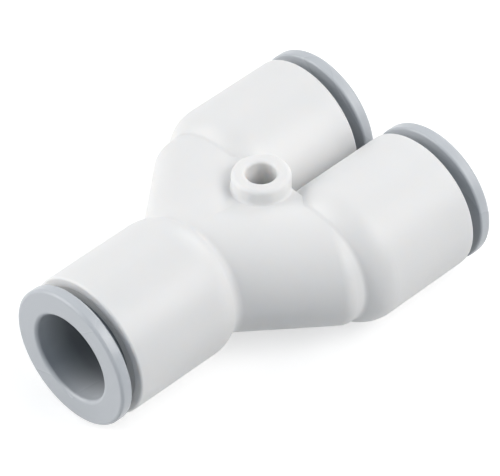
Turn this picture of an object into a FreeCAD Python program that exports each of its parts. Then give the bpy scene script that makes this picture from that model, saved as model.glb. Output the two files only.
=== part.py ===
import FreeCAD, Part
import math
import os
import re
import Sketcher

# Push-in Y union for round tube, in millimetres.
# The origin is the middle of the fixing hole. +X runs along the ports, from the single inlet to the pair
# of outlets, +Y points to the left outlet, and +Z runs up the fixing hole.

os.makedirs("parts", exist_ok=True)
doc = FreeCAD.newDocument("push_in_y_union")

# Driving dimensions

sizes = doc.addObject("Spreadsheet::Sheet", "sizes")
SIZES = [
    ("tube_diameter", 16.0, "outside of the tube that the ports take"),
    ("collar_play", 0.1, "room all round the tube in the release collar"),
    ("sleeve_wall", 1.1, "wall of the collar's sleeve"),
    ("hook_height", 0.5, "how far the collar's hook stands out of its sleeve"),
    ("hook_room", 0.3, "room round the hook inside the guide ring"),
    ("guide_wall", 1.17, "wall of the guide ring round the hook's room"),
    ("seat_play", 0.03, "room round a ring in its seat"),
    ("barrel_wall", 1.7, "wall of a barrel round the guide ring's seat"),
    ("seal_step", 0.7, "step from the guide ring's seat down to the seal's"),
    ("socket_play", 0.15, "room all round the tube in the body's socket"),
    ("insertion_depth", 20.0, "from a port's mouth to its tube stop"),
    ("flow_diameter", 12.0, "passage behind a tube stop"),
    ("branch_diameter", 10.4, "passage through a leg"),
    ("inlet_barrel_length", 25.4, "inlet barrel, from its mouth to its back face"),
    ("outlet_barrel_length", 24.6, "outlet barrel, from its mouth to its back face"),
    ("outlet_gap", 1.6, "between the two outlet barrels"),
    ("shoulder_radius", 6.7, "round at the back of a barrel"),
    ("shoulder_step", 2.2, "from a barrel's outside down to a leg's"),
    ("mouth_round", 0.4, "round at the mouth of a barrel"),
    ("leg_angle", 40.0, "between a leg and the ports' direction"),
    ("leg_root", 14.4, "from the fixing hole back to where the legs' axes meet"),
    ("leg_lead", 0.1, "from the inlet barrel's back face on to where the legs' axes meet"),
    ("elbow_offset", 0.45, "how far an elbow's axis lies inboard of its outlet's axis"),
    ("neck_setback", 0.248, "from an elbow's bend back to where its crown enters the outlet barrel"),
    ("web_step", 0.75, "from a leg's crown down to the web's flat"),
    ("web_lap", 3.6, "from an outlet barrel's back face on to the web's edge in the crotch"),
    ("boss_diameter", 10.2, "boss round the fixing hole"),
    ("fixing_hole_diameter", 5.3, "clearance hole for an M5 screw"),
    ("root_blend", 1.5, "fillet where a leg leaves the inlet barrel"),
    ("elbow_blend", 3.0, "round on the outside of an elbow"),
    ("neck_blend", 1.0, "fillet where an elbow meets its outlet barrel"),
    ("web_blend", 6.0, "fillet between a leg and the web"),
    ("boss_foot_blend", 0.5, "fillet at the foot of the boss"),
    ("boss_rim_round", 0.8, "round on the rim of the boss"),
    ("hole_entry", 0.6, "round at both mouths of the fixing hole"),
    ("guide_ring_length", 5.4, "guide ring along the port"),
    ("guide_lip_length", 2.2, "lip of the guide ring that traps the collar's hook"),
    ("guide_play", 0.1, "room round the collar's sleeve in the guide ring's lip"),
    ("guide_entry", 0.3, "chamfer at the mouth of the guide ring"),
    ("hook_land", 0.8, "flat top of the hook"),
    ("hook_play", 0.1, "end play of the hook under the lip"),
    ("grab_thickness", 0.35, "spring steel of the grab ring"),
    ("grab_web", 0.1, "how far the claws' root lies inside the guide ring's wall"),
    ("claw_angle", 45.0, "between a claw and the grab ring's flat"),
    ("claw_bite", 0.1, "how far the claws' tips reach into the tube's wall"),
    ("claw_gap", 1.5, "slot between two claws"),
    ("claw_count", 12, "claws on a grab ring"),
    ("claw_room", 0.15, "room between the claws and the spacer ring"),
    ("spacer_bore_play", 0.4, "room all round the tube in the spacer ring"),
    ("spacer_length", 2.9, "spacer ring along the port"),
    ("seal_length", 3.0, "seal ring along the port"),
    ("seal_squeeze", 0.4, "how far the seal's bead reaches into the tube's room"),
    ("seal_relief", 0.7, "step from the seal's bead back to its bore"),
    ("seal_lip_depth", 1.2, "groove that parts the seal's two lips"),
    ("collar_gap", 2.0, "between the body's mouth and the collar's flange"),
    ("collar_travel", 1.8, "how far a release collar can be pushed in"),
    ("flange_inset", 0.1, "from a barrel's outside in to the edge of the collar's flange"),
    ("flange_thickness", 2.25, "release collar's flange"),
    ("flange_front_round", 0.6, "round on the front edge of the flange"),
    ("flange_back_round", 0.4, "round on the back edge of the flange"),
    ("collar_entry", 0.7, "round at the mouth of the collar's bore"),
    ("nose_flat", 0.4, "flat tip of the sleeve"),
    ("nose_room", 0.15, "room between the nose and the claws when the collar is pushed in"),
    ("sleeve_slot", 1.2, "width of the slots that let the sleeve snap in"),
    ("sleeve_slots", 3, "slots in a sleeve"),
    ("slot_land", 3.1, "unslotted length of sleeve next to the flange"),
    ("collar_roll", 38.0, "how far round its port a collar stands, which turns freely in it"),
]
for row, (alias, number, meaning) in enumerate(SIZES, start=1):
    sizes.set(f"A{row}", alias)
    sizes.set(f"B{row}", str(number))
    sizes.setAlias(f"B{row}", alias)
    sizes.set(f"C{row}", meaning)
doc.recompute()
ALIASES = {alias for alias, number, meaning in SIZES}


def sized(text):
    """The expression that reads each size named in the text from the sheet."""
    def look_up(match):
        word = match.group()
        return f"sizes.{word}" if word in ALIASES else word
    return re.sub(r"[a-z_]+", look_up, text)


def value(text):
    """The number that an expression over the named sizes gives."""
    return float(sizes.evalExpression(sized(text)))


# Formulas that several pieces share. The radii build up from the tube outwards

TUBE_RADIUS = "tube_diameter / 2"
COLLAR_BORE = f"({TUBE_RADIUS} + collar_play)"
SLEEVE_RADIUS = f"({COLLAR_BORE} + sleeve_wall)"
HOOK_RADIUS = f"({SLEEVE_RADIUS} + hook_height)"
GUIDE_POCKET = f"({HOOK_RADIUS} + hook_room)"
RING_SEAT = f"({GUIDE_POCKET} + guide_wall + seat_play)"
SEAL_SEAT = f"({RING_SEAT} - seal_step)"
BARREL_RADIUS = f"({RING_SEAT} + barrel_wall)"
LEG_RADIUS = f"({BARREL_RADIUS} - shoulder_step)"
WEB_HALF = f"({LEG_RADIUS} - web_step)"
CLAW_ROOT = f"({GUIDE_POCKET} - grab_web)"
CLAW_TIP = f"({TUBE_RADIUS} - claw_bite)"
CLAW_SKEW = "(grab_thickness / cos(claw_angle * 1 deg))"
CLAW_SLOPE = "tan(claw_angle * 1 deg)"
GRAB_DEPTH = "guide_ring_length"
SPACER_DEPTH = "(guide_ring_length + grab_thickness)"
SEAL_DEPTH = f"({SPACER_DEPTH} + spacer_length)"
SOCKET_DEPTH = f"({SEAL_DEPTH} + seal_length)"
LEG_SLOPE = "tan(leg_angle * 1 deg)"
OUTLET_SIDE = f"({BARREL_RADIUS} + outlet_gap / 2)"
ELBOW_SIDE = f"({OUTLET_SIDE} - elbow_offset)"
ELBOW_ALONG = f"({ELBOW_SIDE} / {LEG_SLOPE} - leg_root)"
INLET_BACK = "(-leg_root - leg_lead)"
INLET_MOUTH = f"({INLET_BACK} - inlet_barrel_length)"
SHOULDER_DEPTH = "(shoulder_radius - sqrt(shoulder_radius^2 - (shoulder_radius - shoulder_step)^2))"
OUTLET_BACK = f"({ELBOW_ALONG} - neck_setback - {SHOULDER_DEPTH})"
OUTLET_MOUTH = f"({OUTLET_BACK} + outlet_barrel_length)"
WEB_FRONT = f"({OUTLET_BACK} + web_lap)"

# The three ports: where each mouth is, and which way its tube goes in

PORTS = {
    "inlet": {"along": INLET_MOUTH, "across": "0", "turn": 0},
    "left": {"along": OUTLET_MOUTH, "across": OUTLET_SIDE, "turn": 180},
    "right": {"along": OUTLET_MOUTH, "across": f"-{OUTLET_SIDE}", "turn": 180},
}


def bind(thing, **formulas):
    """Tie properties of an object to formulas over the named sizes."""
    for name, text in formulas.items():
        thing.setExpression(name, sized(text))


def place(thing, along="0", across="0", up="0", axis=FreeCAD.Vector(0, 0, 1), turn="0"):
    """Put an object at a place and a turn that follow the named sizes."""
    thing.Placement = FreeCAD.Placement(FreeCAD.Vector(), FreeCAD.Rotation(axis, 1))
    thing.setExpression("Placement.Base.x", sized(along))
    thing.setExpression("Placement.Base.y", sized(across))
    thing.setExpression("Placement.Base.z", sized(up))
    thing.setExpression("Placement.Rotation.Angle", sized(turn))


def seat(thing, port, depth, roll):
    """Put a turned piece in a port, its own +X pointing the way the tube goes in, and rolled round it."""
    inward = "+" if port["turn"] == 0 else "-"
    turned_round = FreeCAD.Rotation(FreeCAD.Vector(0, 0, 1), port["turn"])
    rolled = FreeCAD.Rotation(FreeCAD.Vector(1, 0, 0), roll)
    thing.Placement = FreeCAD.Placement(FreeCAD.Vector(), turned_round.multiply(rolled))
    thing.setExpression("Placement.Base.x", sized(f"{port['along']} {inward} ({depth})"))
    thing.setExpression("Placement.Base.y", sized(port["across"]))


def outline(sketch, corners):
    """A closed outline in a sketch. Each corner is a pair of formulas, kept by two dimensions."""
    spots = [FreeCAD.Vector(value(x), value(y), 0) for x, y in corners]
    for number, spot in enumerate(spots):
        sketch.addGeometry(Part.LineSegment(spot, spots[(number + 1) % len(spots)]), False)
    for number in range(len(spots)):
        follower = (number + 1) % len(spots)
        sketch.addConstraint(Sketcher.Constraint("Coincident", number, 2, follower, 1))
    for number, (x, y) in enumerate(corners):
        for kind, text, now in (("DistanceX", x, spots[number].x), ("DistanceY", y, spots[number].y)):
            place_of = sketch.addConstraint(Sketcher.Constraint(kind, -1, 1, number, 1, now))
            sketch.setExpression(f"Constraints[{place_of}]", sized(text))


def origin_feature(body, role):
    return next(item for item in body.Origin.OriginFeatures if item.Role == role)


def body_sketch(body, name, role):
    sketch = body.newObject("Sketcher::SketchObject", name)
    sketch.AttachmentSupport = (origin_feature(body, role), [""])
    sketch.MapMode = "FlatFace"
    return sketch


def turned(name, corners):
    """A body turned about its own X axis. Corners are (distance along the port, radius)."""
    body = doc.addObject("PartDesign::Body", name)
    body.Label = name
    sketch = body_sketch(body, f"{name}_profile", "XZ_Plane")
    outline(sketch, corners)
    ring = body.newObject("PartDesign::Revolution", f"{name}_turning")
    ring.Profile = sketch
    ring.ReferenceAxis = (sketch, ["H_Axis"])
    ring.Angle = 360
    doc.recompute()
    return body


def round_turned_edges(body, name, kind, spots, size):
    """Round or bevel the circular edges of a turned body that pass through the given corners."""
    base = body.Tip
    chosen = []
    for number, edge in enumerate(base.Shape.Edges, start=1):
        if not isinstance(edge.Curve, Part.Circle):
            continue
        for along, radius in spots:
            level = abs(edge.Curve.Center.x - value(along)) < 1e-4
            if level and abs(edge.Curve.Radius - value(radius)) < 1e-4:
                chosen.append(f"Edge{number}")
    if len(chosen) != len(spots):
        raise RuntimeError(f"{name}: {len(chosen)} edges found for {len(spots)} corners")
    dressing = body.newObject(f"PartDesign::{kind}", name)
    dressing.Base = (base, chosen)
    if kind == "Fillet":
        bind(dressing, Radius=size)
    else:
        bind(dressing, Size=size)
    doc.recompute()


def slot_pattern(body, name, corners, height, count):
    """Cut one slot through the wall above the body's axis and repeat it round the axis."""
    before = body.Shape.Volume
    sketch = body_sketch(body, f"{name}_outline", "XY_Plane")
    outline(sketch, corners)
    slot = body.newObject("PartDesign::Pocket", name)
    slot.Profile = sketch
    slot.Type = "Length"
    slot.Reversed = True
    bind(slot, Length=height)
    doc.recompute()
    if not slot.Shape.Volume < before - 0.01:
        raise RuntimeError(f"{name} cuts nothing")
    pattern = body.newObject("PartDesign::PolarPattern", f"{name}_pattern")
    pattern.Originals = [slot]
    pattern.Axis = (origin_feature(body, "X_Axis"), [""])
    pattern.Angle = 360
    bind(pattern, Occurrences=count)
    body.Tip = pattern
    doc.recompute()


# Release collar: a moulded sleeve with a flange to press on, a hook that keeps it in the guide ring, and a
# slotted nose that spreads the claws

FLANGE_RADIUS = f"({BARREL_RADIUS} - flange_inset)"
COLLAR_FRONT = "(collar_gap + flange_thickness)"
HOOK_START = f"({COLLAR_FRONT} + guide_lip_length + hook_play)"
NOSE_RADIUS = f"({COLLAR_BORE} + nose_flat)"
NOSE_DEPTH = f"({GRAB_DEPTH} + ({CLAW_ROOT} - {NOSE_RADIUS}) * {CLAW_SLOPE} - collar_travel - nose_room)"
NOSE_END = f"({COLLAR_FRONT} + {NOSE_DEPTH})"


def make_release_collar(name):
    collar = turned(name, [
        ("0", COLLAR_BORE),
        ("0", FLANGE_RADIUS),
        ("flange_thickness", FLANGE_RADIUS),
        ("flange_thickness", SLEEVE_RADIUS),
        (HOOK_START, SLEEVE_RADIUS),
        (HOOK_START, HOOK_RADIUS),
        (f"{HOOK_START} + hook_land", HOOK_RADIUS),
        (f"{HOOK_START} + hook_land + hook_height", SLEEVE_RADIUS),
        (f"{NOSE_END} - (sleeve_wall - nose_flat) * {CLAW_SLOPE}", SLEEVE_RADIUS),
        (NOSE_END, NOSE_RADIUS),
        (NOSE_END, COLLAR_BORE),
    ])
    round_turned_edges(collar, f"{name}_front_edge", "Fillet", [("0", FLANGE_RADIUS)], "flange_front_round")
    round_turned_edges(collar, f"{name}_back_edge", "Fillet",
                       [("flange_thickness", FLANGE_RADIUS)], "flange_back_round")
    round_turned_edges(collar, f"{name}_entry", "Fillet", [("0", COLLAR_BORE)], "collar_entry")
    slot_pattern(collar, f"{name}_slot", [
        ("flange_thickness + slot_land", "-sleeve_slot / 2"),
        (f"{NOSE_END} + 1", "-sleeve_slot / 2"),
        (f"{NOSE_END} + 1", "sleeve_slot / 2"),
        ("flange_thickness + slot_land", "sleeve_slot / 2"),
    ], FLANGE_RADIUS, "sleeve_slots")
    return collar


# Guide ring: pressed flush into the mouth, with a lip that the collar's hook snaps behind

def make_guide_ring(name):
    seat_radius = f"{RING_SEAT} - seat_play"
    lip_radius = f"{SLEEVE_RADIUS} + guide_play"
    ring = turned(name, [
        ("0", lip_radius),
        ("0", seat_radius),
        ("guide_ring_length", seat_radius),
        ("guide_ring_length", GUIDE_POCKET),
        ("guide_lip_length", GUIDE_POCKET),
        ("guide_lip_length", lip_radius),
    ])
    round_turned_edges(ring, f"{name}_entry", "Chamfer", [("0", lip_radius)], "guide_entry")
    return ring


# Grab ring: spring steel, pressed from strip, with a ring of claws that slant inwards

def make_grab_ring(name):
    seat_radius = f"{RING_SEAT} - seat_play"
    claw_length = f"({CLAW_ROOT} - {CLAW_TIP}) * {CLAW_SLOPE}"
    back_root = f"{CLAW_ROOT} + ({CLAW_SKEW} - grab_thickness) / {CLAW_SLOPE}"
    ring = turned(name, [
        ("0", CLAW_ROOT),
        ("0", seat_radius),
        ("grab_thickness", seat_radius),
        ("grab_thickness", back_root),
        (f"{claw_length} + {CLAW_SKEW}", CLAW_TIP),
        (claw_length, CLAW_TIP),
    ])
    slot_pattern(ring, f"{name}_gap", [
        ("-1", "-claw_gap / 2"),
        (f"{claw_length} + {CLAW_SKEW} + 1", "-claw_gap / 2"),
        (f"{claw_length} + {CLAW_SKEW} + 1", "claw_gap / 2"),
        ("-1", "claw_gap / 2"),
    ], CLAW_ROOT, "claw_count")
    return ring


# Spacer ring: backs the claws with a cone and holds the seal in its seat

def make_spacer_ring(name):
    seat_radius = f"{SEAL_SEAT} - seat_play"
    bore = f"({TUBE_RADIUS} + spacer_bore_play)"
    claw_back = f"({CLAW_SKEW} - grab_thickness + claw_room)"
    return turned(name, [
        ("0", f"{CLAW_ROOT} + {claw_back} / {CLAW_SLOPE}"),
        ("0", seat_radius),
        ("spacer_length", seat_radius),
        ("spacer_length", bore),
        (f"({CLAW_ROOT} - {bore}) * {CLAW_SLOPE} + {claw_back}", bore),
    ])


# Seal ring: rubber, with a bead that grips the tube and two lips that the pressure spreads

def make_seal_ring(name):
    seat_radius = f"{SEAL_SEAT} - seat_play"
    bead = f"({TUBE_RADIUS} - seal_squeeze)"
    bore = f"({bead} + seal_relief)"
    rubber = f"({SEAL_SEAT} - {bore})"
    return turned(name, [
        ("0", f"{bore} + seal_squeeze"),
        ("0", seat_radius),
        ("seal_length", seat_radius),
        ("seal_length", f"{bore} + {rubber} * 0.7"),
        ("seal_length - seal_lip_depth", f"{bore} + {rubber} * 0.5"),
        ("seal_length", f"{bore} + {rubber} * 0.3"),
        ("seal_length", bore),
        ("seal_length - seal_lip_depth / 2", bore),
        ("seal_length / 2", bead),
        ("seal_length / 4", bead),
    ])


PIECES = [
    ("release_collar", make_release_collar, f"-{COLLAR_FRONT}", "collar_roll"),
    ("guide_ring", make_guide_ring, "0", "0"),
    ("grab_ring", make_grab_ring, GRAB_DEPTH, "0"),
    ("spacer_ring", make_spacer_ring, SPACER_DEPTH, "0"),
    ("seal_ring", make_seal_ring, SEAL_DEPTH, "0"),
]
nodes = []
for port_name, port in PORTS.items():
    for piece_name, make_piece, depth, roll in PIECES:
        piece = make_piece(f"{port_name}_{piece_name}")
        seat(piece, port, depth, value(roll))
        nodes.append(piece)

# Body of the fitting: one moulding. One side of it, y > 0, is built and blended, then mirrored

ALONG_X = FreeCAD.Rotation(FreeCAD.Vector(-1, 1, -1), 120)
AMPLE = f"({BARREL_RADIUS} * 6)"


def bar(name, radius, height, along, across, slant=0):
    """A round bar along +X, or slanted from it towards +Y. Its seam lies on the inner side."""
    solid = doc.addObject("Part::Cylinder", name)
    bind(solid, Radius=radius, Height=height)
    turn = FreeCAD.Rotation(FreeCAD.Vector(0, 0, 1), slant)
    solid.Placement = FreeCAD.Placement(FreeCAD.Vector(), turn.multiply(ALONG_X))
    solid.setExpression("Placement.Base.x", sized(along))
    solid.setExpression("Placement.Base.y", sized(across))
    return solid


def box(name, length, width, height, **at):
    solid = doc.addObject("Part::Box", name)
    bind(solid, Length=length, Width=width, Height=height)
    place(solid, **at)
    return solid


def joined(kind, name, shapes):
    result = doc.addObject(kind, name)
    result.Shapes = shapes
    result.Refine = True
    return result


def cut(name, base, tool):
    result = doc.addObject("Part::Cut", name)
    result.Base = base
    result.Tool = tool
    return result


def blended(name, base, choose):
    """Fillet the edges of an object. choose gives the radius for an edge, or None to leave it."""
    doc.recompute()
    chosen = []
    for number, edge in enumerate(base.Shape.Edges, start=1):
        radius = choose(edge, base.Shape.ancestorsOfType(edge, Part.Face))
        if radius is not None:
            chosen.append((number, radius, radius))
    result = doc.addObject("Part::Fillet", name)
    result.Base = base
    result.Edges = chosen
    doc.recompute()
    return result


def barrel(name, mouth, back, across):
    """A port's barrel, rounded at its mouth and at its back."""
    start, end = (mouth, back) if value(mouth) < value(back) else (back, mouth)
    blank = bar(f"{name}_blank", BARREL_RADIUS, f"{end} - {start}", start, across)

    def choose(edge, faces):
        if not isinstance(edge.Curve, Part.Circle):
            return None
        at_mouth = abs(edge.Curve.Center.x - value(mouth)) < 1e-4
        return value("mouth_round") if at_mouth else value("shoulder_radius")
    return blended(name, blank, choose)


left_side = box("left_side", AMPLE, AMPLE, AMPLE, along=f"-{AMPLE}", up=f"-{AMPLE} / 2")
inlet_half = joined("Part::MultiCommon", "inlet_half", [
    barrel("inlet_barrel", INLET_MOUTH, INLET_BACK, "0"),
    left_side,
])
outlet_barrel = barrel("outlet_barrel", OUTLET_MOUTH, OUTLET_BACK, OUTLET_SIDE)

# The leg is a round bar that slants from the middle to its outlet. It starts inside the inlet barrel, stays
# on its own side of the middle, and ends on the elbow's mitre

leg_bar = bar("leg_bar", LEG_RADIUS, f"{AMPLE} * 2",
              f"-leg_root - {AMPLE} * cos(leg_angle * 1 deg)",
              f"-{AMPLE} * sin(leg_angle * 1 deg)", value("leg_angle"))
leg_room = box("leg_room", AMPLE, AMPLE, AMPLE, along=f"{INLET_BACK} - shoulder_radius", up=f"-{AMPLE} / 2")
mitre_side = box("mitre_side", AMPLE, f"{AMPLE} * 2", AMPLE, turn="leg_angle / 2",
                 along=f"{ELBOW_ALONG} - {AMPLE} * cos(leg_angle / 2 * 1 deg)"
                       f" + {AMPLE} * sin(leg_angle / 2 * 1 deg)",
                 across=f"{ELBOW_SIDE} - {AMPLE} * sin(leg_angle / 2 * 1 deg)"
                        f" - {AMPLE} * cos(leg_angle / 2 * 1 deg)",
                 up=f"-{AMPLE} / 2")
leg = joined("Part::MultiCommon", "leg", [leg_bar, leg_room, mitre_side])

# The elbow turns the leg into the outlet's direction, cut on the same mitre

elbow_bar = bar("elbow_bar", LEG_RADIUS, f"leg_root + {OUTLET_BACK} + shoulder_radius",
                "-leg_root", ELBOW_SIDE)
elbow = cut("elbow", elbow_bar, mitre_side)

# The web is a flat plate between the two legs

web_outline = doc.addObject("Sketcher::SketchObject", "web_outline")
outline(web_outline, [
    ("-leg_root", "0"),
    (ELBOW_ALONG, ELBOW_SIDE),
    (WEB_FRONT, ELBOW_SIDE),
    (WEB_FRONT, "0"),
])
web = doc.addObject("Part::Extrusion", "web")
web.Base = web_outline
web.DirMode = "Normal"
web.Solid = True
web.Symmetric = True
bind(web, LengthFwd=f"{WEB_HALF} * 2")

side_blank = joined("Part::MultiFuse", "side_blank", [inlet_half, outlet_barrel, leg, elbow, web])


def surface_role(face):
    """What a face of the moulding belongs to."""
    surface = face.Surface
    if isinstance(surface, Part.Toroid):
        return "inlet shoulder" if abs(surface.Center.y) < 1e-4 else "outlet shoulder"
    if isinstance(surface, Part.Plane) and abs(surface.Axis.z) > 0.999:
        return "web"
    if isinstance(surface, Part.Cylinder) and abs(surface.Radius - value(LEG_RADIUS)) < 1e-4:
        return "elbow" if abs(surface.Axis.x) > 0.999 else "leg"
    return "other"


BLENDS = {
    frozenset(("leg", "inlet shoulder")): "root_blend",
    frozenset(("leg", "elbow")): "elbow_blend",
    frozenset(("elbow", "outlet shoulder")): "neck_blend",
    frozenset(("leg", "outlet shoulder")): "neck_blend",
    frozenset(("leg", "web")): "web_blend",
}


def blend_between(edge, faces):
    """The radius for an edge. Down in the crotch, ahead of the web, the creases stay sharp."""
    size = BLENDS.get(frozenset(surface_role(face) for face in faces))
    in_the_crotch = min(end.X for end in edge.Vertexes) > value(WEB_FRONT) - 1e-3
    return value(size) if size and not in_the_crotch else None


side = blended("side", side_blank, blend_between)
other_side = doc.addObject("Part::Mirroring", "other_side")
other_side.Source = side
other_side.Normal = FreeCAD.Vector(0, 1, 0)

# The boss stands through the web, flush with the barrels above and below. Its foot flares out onto the web

boss_bar = doc.addObject("Part::Cylinder", "boss_bar")
bind(boss_bar, Radius="boss_diameter / 2", Height=f"{BARREL_RADIUS} * 2")
place(boss_bar, up=f"-{BARREL_RADIUS}")


def boss_rim(edge, faces):
    return value("boss_rim_round") if isinstance(edge.Curve, Part.Circle) else None


boss = blended("boss", boss_bar, boss_rim)
FOOT_HEIGHT = f"({WEB_HALF} + boss_foot_blend)"
FOOT_RADIUS = "(boss_diameter / 2 + boss_foot_blend)"
foot_blank = doc.addObject("Part::Cylinder", "foot_blank")
bind(foot_blank, Radius=FOOT_RADIUS, Height=f"{FOOT_HEIGHT} * 2")
place(foot_blank, up=f"-{FOOT_HEIGHT}")
hollow_rings = []
for end, level in (("upper", FOOT_HEIGHT), ("lower", f"-{FOOT_HEIGHT}")):
    ring = doc.addObject("Part::Torus", f"{end}_foot_hollow")
    bind(ring, Radius1=FOOT_RADIUS, Radius2="boss_foot_blend")
    place(ring, up=level)
    hollow_rings.append(ring)
flared_foot = cut("flared_foot", foot_blank, joined("Part::MultiFuse", "foot_hollows", hollow_rings))
behind_crotch = box("behind_crotch", AMPLE, AMPLE, AMPLE,
                    along=f"{WEB_FRONT} - {AMPLE}", across=f"-{AMPLE} / 2", up=f"-{AMPLE} / 2")
boss_foot = joined("Part::MultiCommon", "boss_foot", [flared_foot, behind_crotch])
whole_boss = joined("Part::MultiFuse", "whole_boss", [boss, boss_foot])
outer_form = joined("Part::MultiFuse", "outer_form", [side, other_side, whole_boss])

# Sockets and passages

hollows = []
for port_name, port in PORTS.items():
    bend = "-leg_root" if port_name == "inlet" else f"{OUTLET_SIDE} / {LEG_SLOPE} - leg_root"
    steps = [
        ("ring_bore", RING_SEAT, "0", SPACER_DEPTH),
        ("seal_bore", SEAL_SEAT, SPACER_DEPTH, SOCKET_DEPTH),
        ("tube_socket", f"{TUBE_RADIUS} + socket_play", SOCKET_DEPTH, "insertion_depth"),
        ("flow_bore", "flow_diameter / 2", SOCKET_DEPTH, f"abs(({bend}) - ({port['along']}))"),
    ]
    for step_name, radius, start, end in steps:
        low = f"{port['along']} + {start}" if port["turn"] == 0 else f"{port['along']} - ({end})"
        hollows.append(bar(f"{port_name}_{step_name}", radius, f"({end}) - ({start})", low, port["across"]))
    turning = doc.addObject("Part::Sphere", f"{port_name}_bend")
    bind(turning, Radius="flow_diameter / 2")
    place(turning, along=bend, across=port["across"])
    hollows.append(turning)
    if port_name != "inlet":
        slant = value("leg_angle") if port_name == "left" else -value("leg_angle")
        hollows.append(bar(f"{port_name}_branch", "branch_diameter / 2",
                           f"{OUTLET_SIDE} / sin(leg_angle * 1 deg)", "-leg_root", "0", slant))
fixing_hole = doc.addObject("Part::Cylinder", "fixing_hole")
bind(fixing_hole, Radius="fixing_hole_diameter / 2", Height=f"{BARREL_RADIUS} * 4")
place(fixing_hole, up=f"-{BARREL_RADIUS} * 2")
hollows.append(fixing_hole)
hollow = joined("Part::MultiFuse", "hollow", hollows)
hollowed = cut("hollowed", outer_form, hollow)


def hole_rim(edge, faces):
    """The round for the edges between the fixing hole's wall and the flat ends of the boss."""
    walls = [face.Surface for face in faces if isinstance(face.Surface, Part.Cylinder)]
    ends = [face.Surface for face in faces if isinstance(face.Surface, Part.Plane)]
    if len(walls) != 1 or len(ends) != 1 or abs(ends[0].Axis.z) < 0.999:
        return None
    in_hole = abs(walls[0].Radius - value("fixing_hole_diameter / 2")) < 1e-4
    return value("hole_entry") if in_hole else None


body = blended("body", hollowed, hole_rim)
body.Label = "body"
nodes.insert(0, body)
doc.recompute()

# Checks and export

for item in doc.Objects:
    if "Invalid" in item.State or "Error" in item.State:
        raise RuntimeError(f"{item.Name} failed: {item.State}")
for node in nodes:
    shape = node.Shape
    if shape.isNull() or not shape.isValid() or len(shape.Solids) != 1:
        raise RuntimeError(f"{node.Label} is not one valid solid")
for node in nodes:
    node.Shape.exportStep(f"parts/{node.Label}.step")
    box_of = node.Shape.BoundBox
    print(f"{node.Label}: {node.Shape.Volume:.1f} mm3, x {box_of.XMin:.2f} to {box_of.XMax:.2f}, "
          f"y {box_of.YMin:.2f} to {box_of.YMax:.2f}, z {box_of.ZMin:.2f} to {box_of.ZMax:.2f}")
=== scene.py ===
import math

import bpy
from mathutils import Matrix, Vector


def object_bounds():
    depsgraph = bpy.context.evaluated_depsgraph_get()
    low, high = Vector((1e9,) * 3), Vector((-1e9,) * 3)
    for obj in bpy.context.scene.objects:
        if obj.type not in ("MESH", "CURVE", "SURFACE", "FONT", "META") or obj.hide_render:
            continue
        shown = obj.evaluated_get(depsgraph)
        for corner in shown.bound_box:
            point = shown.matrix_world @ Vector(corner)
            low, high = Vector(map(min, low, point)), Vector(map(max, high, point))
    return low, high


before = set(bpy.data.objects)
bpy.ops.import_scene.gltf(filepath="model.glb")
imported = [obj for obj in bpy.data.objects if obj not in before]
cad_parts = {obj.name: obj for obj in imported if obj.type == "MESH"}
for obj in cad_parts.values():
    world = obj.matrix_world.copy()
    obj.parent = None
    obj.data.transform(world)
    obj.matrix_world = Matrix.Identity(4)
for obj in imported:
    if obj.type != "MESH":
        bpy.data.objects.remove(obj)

cad_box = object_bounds()


# Body of the union: one thick-walled moulding in white engineering plastic, with a round barrel
# for each port, two legs with a web between them, and a boss for the fixing screw. Its skin is
# satin, from a finely sparked mould, and the plastic lets a little light into its edges.

PLASTIC_IOR = 1.5
FLOW_SCALE = 40.0                    # flow marks about 25 mm across
FLOW_DETAIL = 1.0
FLOW_BEND = 0.4
FLOW_MIDDLE, FLOW_EDGE = 0.3, 0.7    # value of the pattern in the middle of a mark and outside it
GLOSS_PLAY = 0.02                    # how far the marks move the roughness either way
GRAIN_DETAIL = 2.0
GRAIN_STRENGTH = 0.4
GLOW_DEPTH = 0.002                   # how far light gets inside the plastic, in metres
GLOW_COLOUR = (1.0, 0.9, 0.8)        # share of that depth for red, green and blue


def new_finish(name):
    """Start a finish: give its material, nodes, links and main shader."""
    material = bpy.data.materials.new(name)
    material.use_nodes = True
    nodes, links = material.node_tree.nodes, material.node_tree.links
    return material, nodes, links, nodes["Principled BSDF"]


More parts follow.
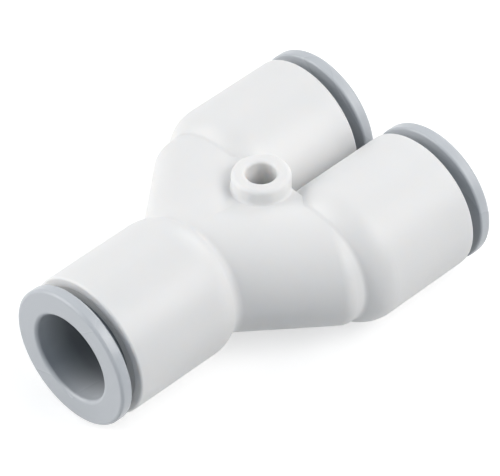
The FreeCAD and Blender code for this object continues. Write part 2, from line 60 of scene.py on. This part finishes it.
def moulded_plastic(name, colour, shade, roughness, grain_size, grain_depth, glow=0.0):
    """Moulded plastic with faint flow marks in its colour and gloss, and a sparked mould's grain.

    shade is the colour's share that is left in a flow mark, glow is the share of the light that
    goes into the plastic and out again, and the grain is measured in metres.
    """
    material, nodes, links, shader = new_finish(name)
    shader.inputs["IOR"].default_value = PLASTIC_IOR
    if glow:
        shader.inputs["Subsurface Weight"].default_value = glow
        shader.inputs["Subsurface Radius"].default_value = GLOW_COLOUR
        shader.inputs["Subsurface Scale"].default_value = GLOW_DEPTH
    place = nodes.new("ShaderNodeTexCoord")

    flow = nodes.new("ShaderNodeTexNoise")
    flow.inputs["Scale"].default_value = FLOW_SCALE
    flow.inputs["Detail"].default_value = FLOW_DETAIL
    flow.inputs["Distortion"].default_value = FLOW_BEND
    links.new(place.outputs["Object"], flow.inputs["Vector"])
    tint = nodes.new("ShaderNodeValToRGB")
    tint.color_ramp.interpolation = "EASE"
    in_mark, outside = tint.color_ramp.elements
    in_mark.position = FLOW_MIDDLE
    in_mark.color = (*(channel * shade for channel in colour), 1.0)
    outside.position = FLOW_EDGE
    outside.color = (*colour, 1.0)
    links.new(flow.outputs["Fac"], tint.inputs["Fac"])
    links.new(tint.outputs["Color"], shader.inputs["Base Color"])

    gloss = nodes.new("ShaderNodeMapRange")
    gloss.interpolation_type = "SMOOTHSTEP"
    gloss.inputs["From Min"].default_value = FLOW_MIDDLE
    gloss.inputs["From Max"].default_value = FLOW_EDGE
    gloss.inputs["To Min"].default_value = roughness - GLOSS_PLAY
    gloss.inputs["To Max"].default_value = roughness + GLOSS_PLAY
    links.new(flow.outputs["Fac"], gloss.inputs["Value"])
    links.new(gloss.outputs["Result"], shader.inputs["Roughness"])

    grain = nodes.new("ShaderNodeTexNoise")
    grain.inputs["Scale"].default_value = 1.0 / grain_size
    grain.inputs["Detail"].default_value = GRAIN_DETAIL
    links.new(place.outputs["Object"], grain.inputs["Vector"])
    relief = nodes.new("ShaderNodeBump")
    relief.inputs["Strength"].default_value = GRAIN_STRENGTH
    relief.inputs["Distance"].default_value = grain_depth
    links.new(grain.outputs["Fac"], relief.inputs["Height"])
    links.new(relief.outputs["Normal"], shader.inputs["Normal"])
    return material


def finish_node(node, material):
    """Give a piece of the frame its finish."""
    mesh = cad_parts[node].data
    mesh.materials.clear()
    mesh.materials.append(material)


white_moulding = moulded_plastic(
    "white_moulding", colour=(0.80, 0.80, 0.80), shade=0.993, roughness=0.42,
    grain_size=0.00035, grain_depth=0.000005, glow=0.6)
finish_node("body", white_moulding)


# Release collars: moulded in grey-blue acetal, one at each port, with a flange to press and a
# slotted sleeve that reaches in to the claws. They are satin, a little smoother than the body.
# Painted shade: the sleeve and bore are coloured darker than the flange the further in they go.

PORTS = ("inlet", "left", "right")
INLET_FACE = 0.04415                 # from the origin to the inlet collar's face, towards -X
OUTLET_FACE = 0.02826                # from the origin to the outlet collars' faces, towards +X
PAINTED_SHADE_START = 0.0018                 # depth behind the face where the painted shade begins
PAINTED_SHADE_END = 0.0065                   # depth where it is at its deepest
PAINTED_SHADE_SHARE = 0.5                    # share of the painted shade in the colour there
# colour of the painted shade deep in the bore
PAINTED_BORE_SHADE = (0.02, 0.025, 0.035, 1.0)
MIX_SHARE, MIX_FROM, MIX_TO = 0, 6, 7    # a Mix node's inputs for colours, by number
MIX_RESULT = 2                       # and its output for them

collar_acetal = moulded_plastic(
    "collar_acetal", colour=(0.51, 0.538, 0.572), shade=0.988, roughness=0.28,
    grain_size=0.0003, grain_depth=0.000004)
nodes, links = collar_acetal.node_tree.nodes, collar_acetal.node_tree.links
place = nodes.new("ShaderNodeTexCoord")
across = nodes.new("ShaderNodeSeparateXYZ")
links.new(place.outputs["Object"], across.inputs["Vector"])
from_inlet = nodes.new("ShaderNodeMath")
from_inlet.operation = "ADD"
links.new(across.outputs["X"], from_inlet.inputs[0])
from_inlet.inputs[1].default_value = INLET_FACE
from_outlets = nodes.new("ShaderNodeMath")
from_outlets.operation = "SUBTRACT"
from_outlets.inputs[0].default_value = OUTLET_FACE
links.new(across.outputs["X"], from_outlets.inputs[1])
depth = nodes.new("ShaderNodeMath")
depth.operation = "MINIMUM"
links.new(from_inlet.outputs["Value"], depth.inputs[0])
links.new(from_outlets.outputs["Value"], depth.inputs[1])
# Painted shade: the collar's colour darkens with depth into its bore.
painted_shade_amount = nodes.new("ShaderNodeMapRange")
painted_shade_amount.inputs["From Min"].default_value = PAINTED_SHADE_START
painted_shade_amount.inputs["From Max"].default_value = PAINTED_SHADE_END
painted_shade_amount.inputs["To Max"].default_value = PAINTED_SHADE_SHARE
links.new(depth.outputs["Value"], painted_shade_amount.inputs["Value"])
with_painted_shade = nodes.new("ShaderNodeMix")
with_painted_shade.data_type = "RGBA"
with_painted_shade.inputs[MIX_TO].default_value = PAINTED_BORE_SHADE
acetal_colour = nodes["Principled BSDF"].inputs["Base Color"]
links.new(painted_shade_amount.outputs["Result"], with_painted_shade.inputs[MIX_SHARE])
links.new(acetal_colour.links[0].from_socket, with_painted_shade.inputs[MIX_FROM])
links.new(with_painted_shade.outputs[MIX_RESULT], acetal_colour)
for port in PORTS:
    finish_node(f"{port}_release_collar", collar_acetal)


# Guide and spacer rings: plain moulded rings in natural off-white acetal, pressed into the
# barrel. The guide ring shows as a pale band behind the collar's flange.

ring_plastic = moulded_plastic(
    "ring_plastic", colour=(0.62, 0.62, 0.61), shade=0.985, roughness=0.45,
    grain_size=0.0003, grain_depth=0.000005)
for port in PORTS:
    finish_node(f"{port}_guide_ring", ring_plastic)
    finish_node(f"{port}_spacer_ring", ring_plastic)


# Grab rings: blanked and pressed from stainless spring strip, with claws that bite into the
# tube. The strip keeps the fine straight marks of its rolling.

MARKS_PER_METRE = (400.0, 400.0, 12000.0)    # long in X and Y, and fine in Z
DARK_STEEL = (0.42, 0.42, 0.41, 1.0)
BRIGHT_STEEL = (0.68, 0.68, 0.66, 1.0)
SMOOTHEST_STEEL, ROUGHEST_STEEL = 0.22, 0.38

claw_steel, nodes, links, steel = new_finish("claw_steel")
steel.inputs["Metallic"].default_value = 1.0
place = nodes.new("ShaderNodeTexCoord")
rolled = nodes.new("ShaderNodeMapping")
rolled.inputs["Scale"].default_value = MARKS_PER_METRE
links.new(place.outputs["Object"], rolled.inputs["Vector"])
marks = nodes.new("ShaderNodeTexNoise")
marks.inputs["Scale"].default_value = 1.0
links.new(rolled.outputs["Vector"], marks.inputs["Vector"])
brightness = nodes.new("ShaderNodeValToRGB")
brightness.color_ramp.elements[0].color = DARK_STEEL
brightness.color_ramp.elements[1].color = BRIGHT_STEEL
links.new(marks.outputs["Fac"], brightness.inputs["Fac"])
links.new(brightness.outputs["Color"], steel.inputs["Base Color"])
sheen = nodes.new("ShaderNodeMapRange")
sheen.inputs["To Min"].default_value = SMOOTHEST_STEEL
sheen.inputs["To Max"].default_value = ROUGHEST_STEEL
links.new(marks.outputs["Fac"], sheen.inputs["Value"])
links.new(sheen.outputs["Result"], steel.inputs["Roughness"])
for port in PORTS:
    finish_node(f"{port}_grab_ring", claw_steel)


# Seal rings: moulded in black nitrile rubber, with a bead that grips the tube and two lips that
# the pressure spreads. The rubber is matt, with a faint bloom.

RUBBER_ROUGHNESS = 0.6
RUBBER_IOR = 1.5
BLOOM_SCALE = 600.0                  # spots a little under 2 mm across
BLOOM_DETAIL = 4.0
BARE_RUBBER = (0.012, 0.012, 0.013, 1.0)
BLOOMED_RUBBER = (0.035, 0.035, 0.036, 1.0)

seal_rubber, nodes, links, rubber = new_finish("seal_rubber")
rubber.inputs["Roughness"].default_value = RUBBER_ROUGHNESS
rubber.inputs["IOR"].default_value = RUBBER_IOR
place = nodes.new("ShaderNodeTexCoord")
bloom = nodes.new("ShaderNodeTexNoise")
bloom.inputs["Scale"].default_value = BLOOM_SCALE
bloom.inputs["Detail"].default_value = BLOOM_DETAIL
links.new(place.outputs["Object"], bloom.inputs["Vector"])
black = nodes.new("ShaderNodeValToRGB")
black.color_ramp.elements[0].color = BARE_RUBBER
black.color_ramp.elements[1].color = BLOOMED_RUBBER
links.new(bloom.outputs["Fac"], black.inputs["Fac"])
links.new(black.outputs["Color"], rubber.inputs["Base Color"])
for port in PORTS:
    finish_node(f"{port}_seal_ring", seal_rubber)


# Table and surroundings: the fitting lies on a seamless sheet of white paper in a dim, bluish
# room. What the camera or a mirror sees of the paper and the room is plain white, and the paper
# keeps the fitting's shadow.

TABLE_HALF = 3.0                     # from the fitting to the table's edge, in metres
PAPER_COLOUR = (0.6, 0.6, 0.6, 1.0)
PAPER_ROUGHNESS = 0.9
PAPER_LIFT = 0.6                     # what brings the paper up to white where it is seen
ROOM_COLOUR = (0.36, 0.69, 1.0, 1.0)
ROOM_STRENGTH = 0.135
WHITE = (1.0, 1.0, 1.0, 1.0)


def seen_directly(nodes, links):
    """A value of 1 for what the camera, a mirror or a clear piece sees, and 0 for other light."""
    path = nodes.new("ShaderNodeLightPath")
    seen = path.outputs["Is Camera Ray"]
    for kind in ("Is Glossy Ray", "Is Transmission Ray"):
        either = nodes.new("ShaderNodeMath")
        either.operation = "MAXIMUM"
        links.new(seen, either.inputs[0])
        links.new(path.outputs[kind], either.inputs[1])
        seen = either.outputs["Value"]
    return seen


table_mesh = bpy.data.meshes.new("table")
table_top = cad_box[0].z
corners = [(x * TABLE_HALF, y * TABLE_HALF, table_top)
           for x, y in ((-1, -1), (1, -1), (1, 1), (-1, 1))]
table_mesh.from_pydata(corners, [], [(0, 1, 2, 3)])
table = bpy.data.objects.new("table", table_mesh)
bpy.context.scene.collection.objects.link(table)
white_paper, nodes, links, paper = new_finish("white_paper")
paper.inputs["Base Color"].default_value = PAPER_COLOUR
paper.inputs["Roughness"].default_value = PAPER_ROUGHNESS
lift = nodes.new("ShaderNodeMath")
lift.operation = "MULTIPLY"
links.new(seen_directly(nodes, links), lift.inputs[0])
lift.inputs[1].default_value = PAPER_LIFT
white = nodes.new("ShaderNodeEmission")
links.new(lift.outputs["Value"], white.inputs["Strength"])
lifted_paper = nodes.new("ShaderNodeAddShader")
links.new(paper.outputs["BSDF"], lifted_paper.inputs[0])
links.new(white.outputs["Emission"], lifted_paper.inputs[1])
links.new(lifted_paper.outputs["Shader"], nodes["Material Output"].inputs["Surface"])
table_mesh.materials.append(white_paper)

world = bpy.data.worlds.new("surroundings")
bpy.context.scene.world = world
world.use_nodes = True
nodes, links = world.node_tree.nodes, world.node_tree.links
dim_room = nodes["Background"]
dim_room.inputs["Color"].default_value = ROOM_COLOUR
dim_room.inputs["Strength"].default_value = ROOM_STRENGTH
backdrop = nodes.new("ShaderNodeBackground")
backdrop.inputs["Color"].default_value = WHITE
room_or_backdrop = nodes.new("ShaderNodeMixShader")
links.new(seen_directly(nodes, links), room_or_backdrop.inputs["Fac"])
links.new(dim_room.outputs["Background"], room_or_backdrop.inputs[1])
links.new(backdrop.outputs["Background"], room_or_backdrop.inputs[2])
links.new(room_or_backdrop.outputs["Shader"], nodes["World Output"].inputs["Surface"])


# Lamps: four round softboxes, all as far from the fitting. The key stands low on the camera's
# left, the fill on its right, and two more light the top and the far side.

SOFTBOX_DISTANCE = 0.8
SOFTBOX_COLOUR = (1.0, 0.964, 0.93)


def softbox(name, size, turn, height, power):
    """A round softbox that faces the fitting.

    turn and height are in degrees, from +X round the fitting and up from the table.
    """
    lamp = bpy.data.lights.new(name, "AREA")
    lamp.shape = "DISK"
    lamp.size = size
    lamp.energy = power
    lamp.color = SOFTBOX_COLOUR
    holder = bpy.data.objects.new(name, lamp)
    bpy.context.scene.collection.objects.link(holder)
    turn, height = math.radians(turn), math.radians(height)
    outwards = math.cos(height)
    towards = Vector((outwards * math.cos(turn), outwards * math.sin(turn), math.sin(height)))
    holder.rotation_euler = towards.to_track_quat("Z", "Y").to_euler()
    holder.location = towards * SOFTBOX_DISTANCE


softbox("key", size=0.8, turn=137, height=27, power=6.2)
softbox("fill", size=0.6, turn=292, height=38, power=3.5)
softbox("overhead", size=0.6, turn=312, height=55, power=1.55)
softbox("far_side", size=0.6, turn=13, height=30, power=1.9)


# Camera: a long lens from the inlet's side, a little above 40 degrees, with the horizon slightly
# tilted, as in the photograph.

IMAGE_WIDTH = 500
FOCAL_LENGTH = 3950.0                # in pixels of the photograph
SENSOR_WIDTH = 36.0
NEAREST, FURTHEST = 0.01, 20.0
CAMERA_PLACE = (-0.33941, -0.35500, 0.45381)
CAMERA_RIGHT = (0.71602517, -0.69791474, -0.01493191)
CAMERA_UP = (0.48272174, 0.47956982, 0.73279772)
CAMERA_BACK = (-0.50426944, -0.53190957, 0.68028269)

lens = bpy.data.cameras.new("camera")
lens.sensor_width = SENSOR_WIDTH
lens.lens = FOCAL_LENGTH / IMAGE_WIDTH * SENSOR_WIDTH
lens.clip_start = NEAREST
lens.clip_end = FURTHEST
camera = bpy.data.objects.new("camera", lens)
bpy.context.scene.collection.objects.link(camera)
camera.matrix_world = Matrix((
    *zip(CAMERA_RIGHT, CAMERA_UP, CAMERA_BACK, CAMERA_PLACE),
    (0.0, 0.0, 0.0, 1.0),
))
bpy.context.scene.camera = camera
bpy.context.scene.view_settings.view_transform = "Standard"
